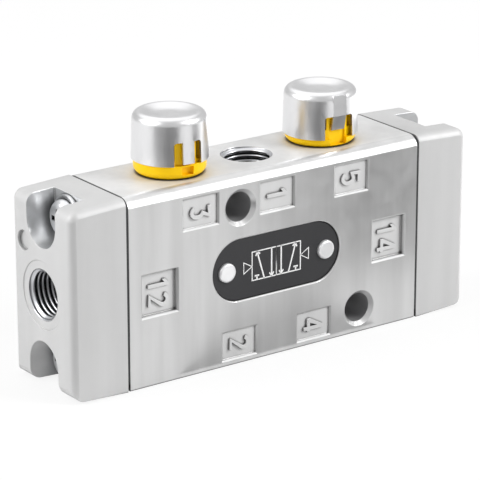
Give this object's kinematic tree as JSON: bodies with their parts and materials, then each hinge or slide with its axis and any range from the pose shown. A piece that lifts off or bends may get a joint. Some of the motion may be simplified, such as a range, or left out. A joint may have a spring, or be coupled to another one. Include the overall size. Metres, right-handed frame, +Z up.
{
  "type": "directional control valve",
  "caption": "Pneumatic spool valve block with end caps, threaded ports on top, underneath and at both ends, two exhaust silencers, and a sliding spool inside.",
  "frame": {"origin": "middle of the bottom face, between the two ports underneath", "axes": "+X along the valve from end 12 to end 14, -Y out of the front face that carries the nameplate, +Z up out of the top ports"},
  "size_m": [0.1232, 0.0274, 0.0658],
  "materials": {
    "body_alloy": "satin, cast and machined",
    "cap_alloy": "satin, die cast",
    "gasket_rubber": "matte",
    "zinc_steel": "bright zinc plated",
    "nameplate_black": "dark anodised, satin",
    "rivet_alloy": "bright",
    "spool_alloy": "hard anodised, ground",
    "acetal_white": "moulded",
    "seal_rubber": "smooth",
    "silencer_yellow": "moulded",
    "filter_felt": "porous",
    "plated_shell": "satin plated"
  },
  "bodies": {
    "housing": {"valve_body": "body_alloy", "nameplate": "nameplate_black", "nameplate_rivets": "rivet_alloy", "left_end_cap": "cap_alloy", "right_end_cap": "cap_alloy", "left_gasket": "gasket_rubber", "right_gasket": "gasket_rubber", "left_cap_screws": "zinc_steel", "right_cap_screws": "zinc_steel", "left_cap_washers": "zinc_steel", "right_cap_washers": "zinc_steel", "left_end_bush": "acetal_white", "right_end_bush": "acetal_white", "left_bumper": "seal_rubber", "right_bumper": "seal_rubber", "left_silencer_base": "silencer_yellow", "right_silencer_base": "silencer_yellow", "left_silencer_element": "filter_felt", "right_silencer_element": "filter_felt", "left_silencer_shell": "plated_shell", "right_silencer_shell": "plated_shell", "spool_seal_1": "seal_rubber", "spool_seal_2": "seal_rubber", "spool_seal_3": "seal_rubber", "spool_seal_4": "seal_rubber", "spool_seal_5": "seal_rubber", "spool_seal_6": "seal_rubber", "seal_spacer_1": "acetal_white", "seal_spacer_2": "acetal_white", "seal_spacer_3": "acetal_white", "seal_spacer_4": "acetal_white", "seal_spacer_5": "acetal_white"},
    "spool": {"spool": "spool_alloy", "left_piston": "acetal_white", "right_piston": "acetal_white", "left_piston_seal": "seal_rubber", "right_piston_seal": "seal_rubber"}
  },
  "joints": [
    {"name": "spool_slide", "type": "slide", "parent": "housing", "child": "spool", "axis": [1, 0, 0], "range_m": [0, 0.0059]}
  ]
}
